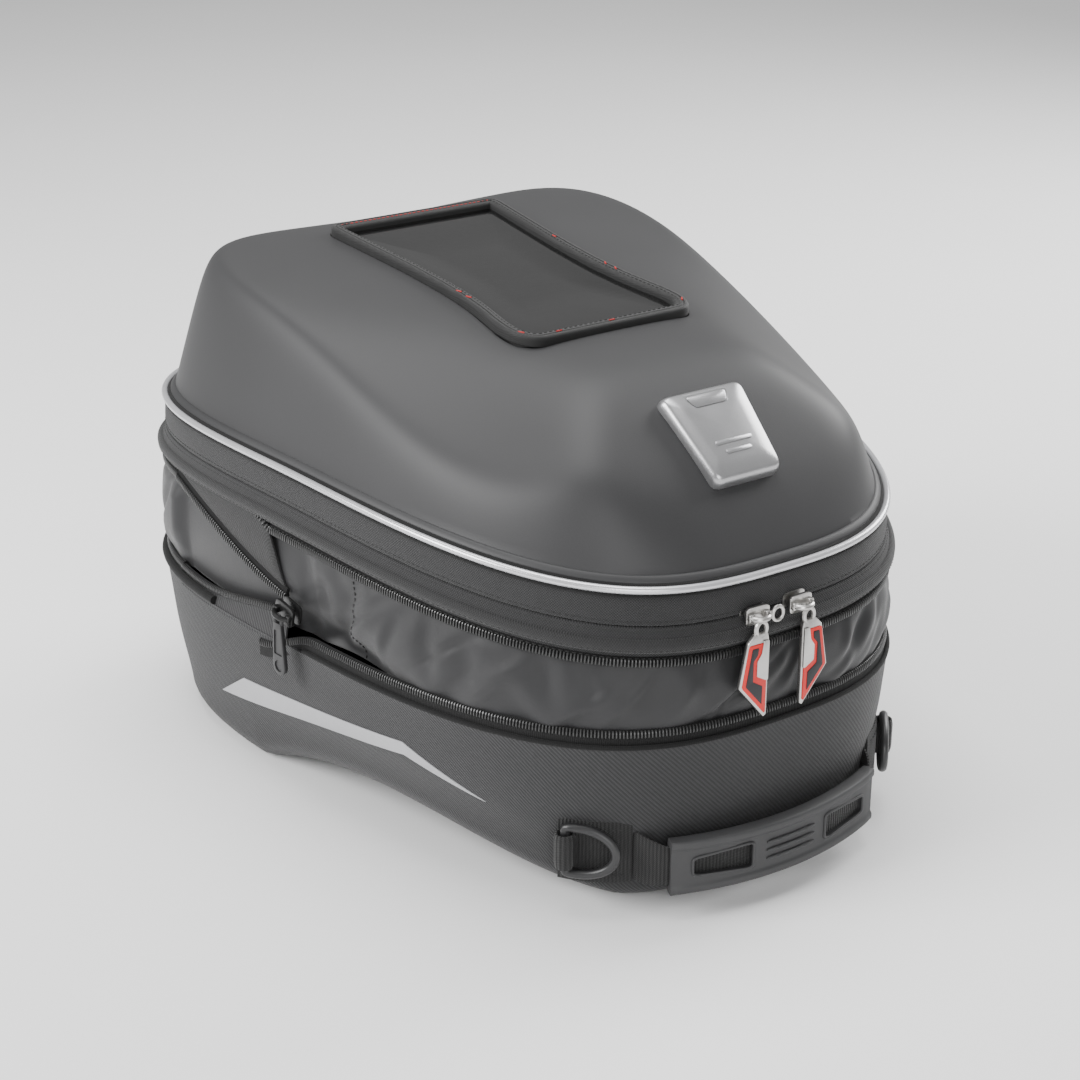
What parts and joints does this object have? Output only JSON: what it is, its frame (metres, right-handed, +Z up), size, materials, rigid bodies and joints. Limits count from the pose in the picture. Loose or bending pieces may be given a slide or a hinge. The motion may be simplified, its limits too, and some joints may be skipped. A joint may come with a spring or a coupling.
{
  "type": "motorcycle tank bag",
  "caption": "Expandable motorcycle tank bag: moulded lid with a phone pocket, zipped collar, folding gusset, stiff arched base with a dock ring, carrying handle and strap rings.",
  "frame": {"origin": "on the floor under the middle of the shell, between the two flanks", "axes": "+Z up, -Y towards the rider (the end with the carrying handle), +Y towards the lid hinge, +X to the right seen from the rider"},
  "size_m": [0.309, 0.4011, 0.2517],
  "materials": {
    "ripstop": "fine woven",
    "binding": "tape",
    "board": "matt",
    "dock_plastic": "satin",
    "steel": "plated",
    "reflective": "smooth reflective print",
    "webbing": "woven",
    "grip_rubber": "satin",
    "ring_plastic": "satin",
    "gusset_nylon": "shiny coated",
    "zip_teeth": "satin",
    "zip_black": "satin",
    "band_weave": "coarse woven",
    "piping": "silver reflective",
    "lid_skin": "matt moulded",
    "lining": "matt",
    "badge_satin": "satin silver",
    "frame_fabric": "coated",
    "window_film": "clear film",
    "zip_nickel": "satin nickel",
    "puller_frame": "red core with metal edge"
  },
  "bodies": {
    "lower_body": {"lower_shell": "ripstop", "rim_binding": "binding", "base_board": "board", "dock_plate": "dock_plastic", "dock_pad": "board", "dock_backing_ring": "steel", "dock_screws": "steel", "latch_spring": "steel", "reflector_left": "reflective", "reflector_right": "reflective", "webbing_left": "webbing", "webbing_right": "webbing", "gusset": "gusset_nylon", "expansion_row_lower": "zip_teeth", "expansion_tail_lower": "zip_teeth"},
    "latch": {"dock_latch": "steel", "release_tab": "dock_plastic"},
    "handle": {"handle_grip": "grip_rubber", "handle_webbing": "webbing"},
    "left_ring": {"d_ring_left": "ring_plastic"},
    "right_ring": {"d_ring_right": "ring_plastic"},
    "collar": {"collar_band": "band_weave", "collar_flap": "band_weave", "expansion_row_upper": "zip_teeth", "main_zip_lower": "zip_teeth", "expansion_tail_upper": "zip_teeth"},
    "lid": {"lid_band": "band_weave", "lid_piping": "piping", "lid_shell": "lid_skin", "lid_lining": "lining", "badge": "badge_satin", "pocket_tub": "lining", "pocket_front_frame": "frame_fabric", "main_zip_upper": "zip_teeth", "lid_hinge_strip": "band_weave"},
    "flap": {"pocket_flap_frame": "frame_fabric", "pocket_window": "window_film"},
    "left_slider": {"main_slider_left": "zip_nickel"},
    "right_slider": {"main_slider_right": "zip_nickel"},
    "left_puller": {"puller_left": "puller_frame", "puller_inlay_left": "grip_rubber"},
    "right_puller": {"puller_right": "puller_frame", "puller_inlay_right": "grip_rubber"},
    "row_slider": {"expansion_slider": "zip_black"},
    "row_puller": {"expansion_puller": "grip_rubber"}
  },
  "joints": [
    {"name": "latch_pull", "type": "slide", "parent": "lower_body", "child": "latch", "axis": [0, -1, 0], "range_m": [0, 0.006], "stiffness_N_per_m": 400, "springref_m": -0.002, "deforming": ["latch_spring"]},
    {"name": "handle_swing", "type": "hinge", "parent": "lower_body", "child": "handle", "pos_m": [0, -0.1895, 0.026], "axis": [1, 0, 0], "range_deg": [-6, 20]},
    {"name": "left_ring_swing", "type": "hinge", "parent": "lower_body", "child": "left_ring", "pos_m": [-0.09534, -0.16053, 0.033], "axis": [0, 0, -1], "range_deg": [0, 150]},
    {"name": "right_ring_swing", "type": "hinge", "parent": "lower_body", "child": "right_ring", "pos_m": [0.09534, -0.16053, 0.033], "axis": [0, 0, 1], "range_deg": [0, 150]},
    {"name": "expansion", "type": "slide", "parent": "lower_body", "child": "collar", "axis": [0, 0, 1], "range_m": [-0.0275, 0], "deforming": ["gusset", "expansion_tail_lower", "expansion_tail_upper"]},
    {"name": "lid_hinge", "type": "hinge", "parent": "collar", "child": "lid", "pos_m": [0, 0.1913, 0.1533], "axis": [-1, 0, 0], "range_deg": [0, 100], "deforming": ["lid_hinge_strip"]},
    {"name": "pocket_flap", "type": "hinge", "parent": "lid", "child": "flap", "pos_m": [0, -0.00331, 0.24163], "axis": [1, 0, 0], "range_deg": [0, 60], "deforming": ["pocket_window"]},
    {"name": "left_slider_travel", "type": "hinge", "parent": "collar", "child": "left_slider", "pos_m": [0, 0.02, 0.1395], "axis": [0, 0, -1], "range_deg": [0, 14]},
    {"name": "right_slider_travel", "type": "hinge", "parent": "collar", "child": "right_slider", "pos_m": [0, 0.02, 0.1395], "axis": [0, 0, 1], "range_deg": [0, 14]},
    {"name": "left_puller_swing", "type": "hinge", "parent": "left_slider", "child": "left_puller", "pos_m": [-0.01762, -0.19849, 0.13852], "axis": [-0.9968, 0.0804, 0], "range_deg": [0, 150]},
    {"name": "right_puller_swing", "type": "hinge", "parent": "right_slider", "child": "right_puller", "pos_m": [0.0065, -0.1991, 0.13852], "axis": [-0.9996, -0.0297, 0], "range_deg": [0, 150]},
    {"name": "row_slider_ride", "type": "slide", "parent": "lower_body", "child": "row_slider", "axis": [0, 0, 1], "range_m": [-0.0085, 0]},
    {"name": "row_puller_swing", "type": "hinge", "parent": "row_slider", "child": "row_puller", "pos_m": [-0.15215, -0.00684, 0.103], "axis": [-0.137, 0.9906, 0], "range_deg": [0, 150]}
  ],
  "couplings": [
    {"joint": "row_slider_ride", "follows": "expansion", "ratio": 0.3}
  ]
}
